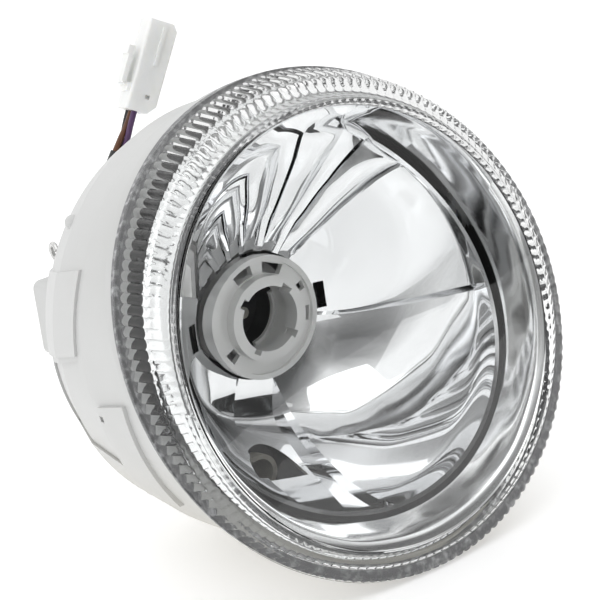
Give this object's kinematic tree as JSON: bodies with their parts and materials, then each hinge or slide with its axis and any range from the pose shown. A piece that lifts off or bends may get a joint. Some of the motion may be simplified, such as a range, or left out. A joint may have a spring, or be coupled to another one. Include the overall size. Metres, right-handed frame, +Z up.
{
  "type": "round scooter headlamp",
  "caption": "Round raked scooter headlamp: ribbed clear lens, grey rear housing, screw-aimed metallised reflector and a short lead with a white plug.",
  "frame": {"origin": "midway between the two rear fixing bosses, on their back faces", "axes": "+Y backwards along the bulb axis (the lamp faces -Y), +Z up, +X to the right seen from the front"},
  "size_m": [0.154, 0.1414, 0.1528],
  "materials": {
    "clear_lens": "polished clear polycarbonate",
    "black_rubber": "matt",
    "grey_rubber": "matt",
    "housing_grey": "satin painted moulding",
    "housing_grey_cap": "satin moulding",
    "brass_insert": "plain",
    "spring_steel": "zinc plated",
    "metallised_bezel": "vacuum metallised",
    "metallised_reflector": "vacuum metallised",
    "satin_seat": "silver paint",
    "holder_grey": "moulded",
    "white_nylon": "natural nylon",
    "black_sleeve": "extruded",
    "brown_pvc": "extruded PVC",
    "violet_pvc": "extruded PVC",
    "black_pvc": "extruded PVC",
    "tinned_brass": "tin plated"
  },
  "bodies": {
    "housing": {"rear_housing": "housing_grey", "lens": "clear_lens", "lens_seal": "black_rubber", "fixing_inserts": "brass_insert", "access_seal": "black_rubber", "spring_hooks": "spring_steel", "breather_cap": "black_rubber", "inner_bezel": "metallised_bezel", "pivot_studs": "spring_steel", "lead_grommet": "black_rubber", "lead_sleeve": "black_sleeve", "wire_brown": "brown_pvc", "wire_violet": "violet_pvc", "wire_black": "black_pvc", "connector_body": "white_nylon", "connector_terminals": "tinned_brass"},
    "reflector_unit": {"reflector": "metallised_reflector", "bulb_seat": "satin_seat", "bulb_socket": "grey_rubber", "bulb_contacts": "brass_insert", "position_lamp_holder": "holder_grey", "position_lamp_grommet": "grey_rubber", "pivot_sockets": "white_nylon", "aim_nut": "white_nylon"},
    "bulb_retaining_ring": {"bulb_retainer": "spring_steel"},
    "aiming_screw": {"aim_screw": "spring_steel", "aim_knob": "white_nylon"},
    "access_cap": {"access_cover": "housing_grey_cap"},
    "latch_lever": {"connector_latch": "white_nylon"}
  },
  "joints": [
    {"name": "reflector_aim", "type": "hinge", "parent": "housing", "child": "reflector_unit", "pos_m": [0, -0.062, 0.01], "axis": [1, 0, 0], "range_deg": [-2.5, 2.5]},
    {"name": "aim_screw_turn", "type": "hinge", "parent": "housing", "child": "aiming_screw", "pos_m": [0.024, -0.02, -0.044], "axis": [0, 1, 0], "range_deg": [-690, 690]},
    {"name": "bulb_ring_twist", "type": "hinge", "parent": "reflector_unit", "child": "bulb_retaining_ring", "pos_m": [0, -0.037, -0.005], "axis": [0, 1, 0], "range_deg": [0, 25]},
    {"name": "access_cap_twist", "type": "hinge", "parent": "housing", "child": "access_cap", "pos_m": [0, -0.009, 0], "axis": [0, 1, 0], "range_deg": [-40, 0]},
    {"name": "connector_latch_press", "type": "hinge", "parent": "housing", "child": "latch_lever", "pos_m": [0.00032, 0.00844, 0.06326], "axis": [-0.2948, -0.9397, 0.1734], "range_deg": [-6, 0], "stiffness_Nm_per_rad": 0.3}
  ],
  "couplings": [
    {"joint": "aim_screw_turn", "follows": "reflector_aim", "ratio": -271.43}
  ]
}
